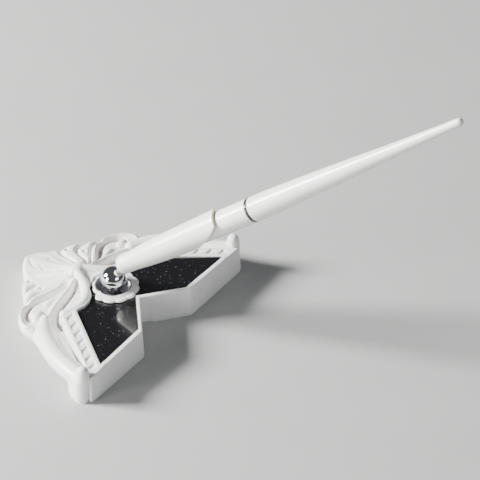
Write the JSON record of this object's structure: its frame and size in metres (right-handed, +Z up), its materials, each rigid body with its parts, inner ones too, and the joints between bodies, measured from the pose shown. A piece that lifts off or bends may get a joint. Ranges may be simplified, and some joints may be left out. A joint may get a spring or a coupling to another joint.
{
  "type": "desk pen set",
  "caption": "Ornate white desk base with a black glitter inlay and a ball swivel that carries a funnel holder for a long tapered desk pen.",
  "frame": {"origin": "foot of the swivel's upright axis on the table, on the underside of the bottom plate", "axes": "+Z up, +Y toward the bow at the back of the base, -Y toward the notched front, +X toward the wing on the pen's side"},
  "size_m": [0.1086, 0.1779, 0.1257],
  "materials": {
    "white_plastic": "satin white",
    "pearl_plastic": "glossy pearl white",
    "glitter_inlay": "glossy black with fine bright specks",
    "chrome": "polished",
    "steel": "plain",
    "brass": "plain"
  },
  "bodies": {
    "base": {"base_shell": "white_plastic", "bottom_plate": "white_plastic", "plate_screw_1": "steel", "plate_screw_2": "steel", "plate_screw_3": "steel", "plate_screw_4": "steel", "glitter_panel": "glitter_inlay", "rosette": "white_plastic", "swivel_cup": "chrome"},
    "swivel": {"swivel_stem": "steel", "stem_washer": "brass", "stem_spring": "steel", "stem_nut": "brass", "tilt_pin": "steel"},
    "holder": {"ball": "chrome", "neck_washer": "steel", "funnel_screw": "steel", "funnel": "pearl_plastic"},
    "pen_front": {"pen_grip": "pearl_plastic", "nib_cone": "chrome", "refill_tube": "brass", "refill_tip": "brass", "joint_sleeve": "brass", "pen_ring": "chrome"},
    "pen_rear": {"pen_tail": "pearl_plastic"}
  },
  "joints": [
    {"name": "swivel_turn", "type": "hinge", "parent": "base", "child": "swivel", "pos_m": [0, 0, 0.0172], "axis": [0, 0, 1], "continuous": true},
    {"name": "swivel_tilt", "type": "hinge", "parent": "swivel", "child": "holder", "pos_m": [0, 0, 0.0172], "axis": [-0.9367, -0.3502, 0], "range_deg": [-20, 30]},
    {"name": "pen_draw", "type": "slide", "parent": "holder", "child": "pen_front", "axis": [0.2833, -0.7578, 0.5878], "range_m": [0, 0.09]},
    {"name": "tail_draw", "type": "slide", "parent": "pen_front", "child": "pen_rear", "axis": [0.2833, -0.7578, 0.5878], "range_m": [0, 0.045]}
  ]
}
